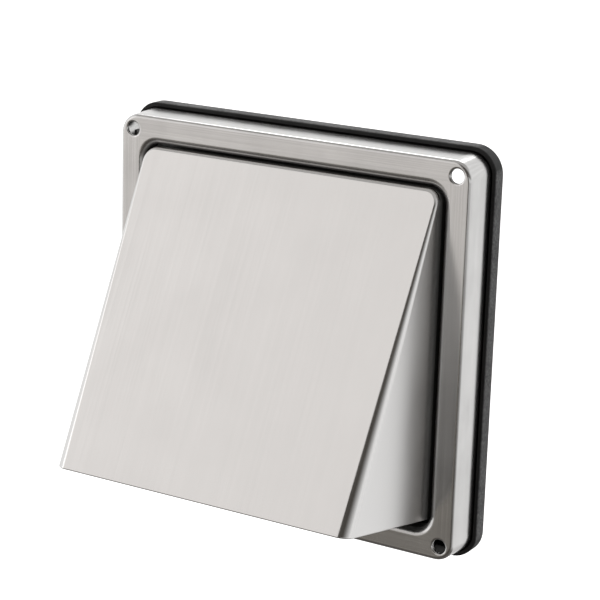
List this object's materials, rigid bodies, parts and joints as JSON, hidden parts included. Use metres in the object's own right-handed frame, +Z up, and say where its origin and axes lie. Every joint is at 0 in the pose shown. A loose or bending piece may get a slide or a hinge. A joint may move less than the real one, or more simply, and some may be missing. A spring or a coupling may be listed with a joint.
{
  "type": "exhaust vent",
  "caption": "Square stainless wall vent with a sloped hood open below, a pressed screw-on frame, a rubber wall seal, a round duct spigot and a gravity flap.",
  "frame": {"origin": "on the duct spigot's axis, in the plane of the wall, which is the seal's rear face", "axes": "+X to the right seen from the front, +Y into the wall along the spigot, +Z up; the hood's front faces -Y"},
  "size_m": [0.15, 0.1144, 0.15],
  "materials": {
    "stainless": "satin brushed",
    "black_rubber": "matt, moulded",
    "black_plastic": "fine moulded grain",
    "pin_steel": "drawn wire",
    "rivet_aluminium": "plain"
  },
  "bodies": {
    "vent": {"front_frame": "stainless", "hood": "stainless", "wall_seal": "black_rubber", "duct_base": "black_plastic", "hinge_pin": "pin_steel", "base_rivets": "rivet_aluminium"},
    "flap": {"flap": "black_plastic"}
  },
  "joints": [
    {"name": "flap_swing", "type": "hinge", "parent": "vent", "child": "flap", "pos_m": [0, -0.0104, 0.05395], "axis": [-1, 0, 0], "range_deg": [0, 28]}
  ]
}
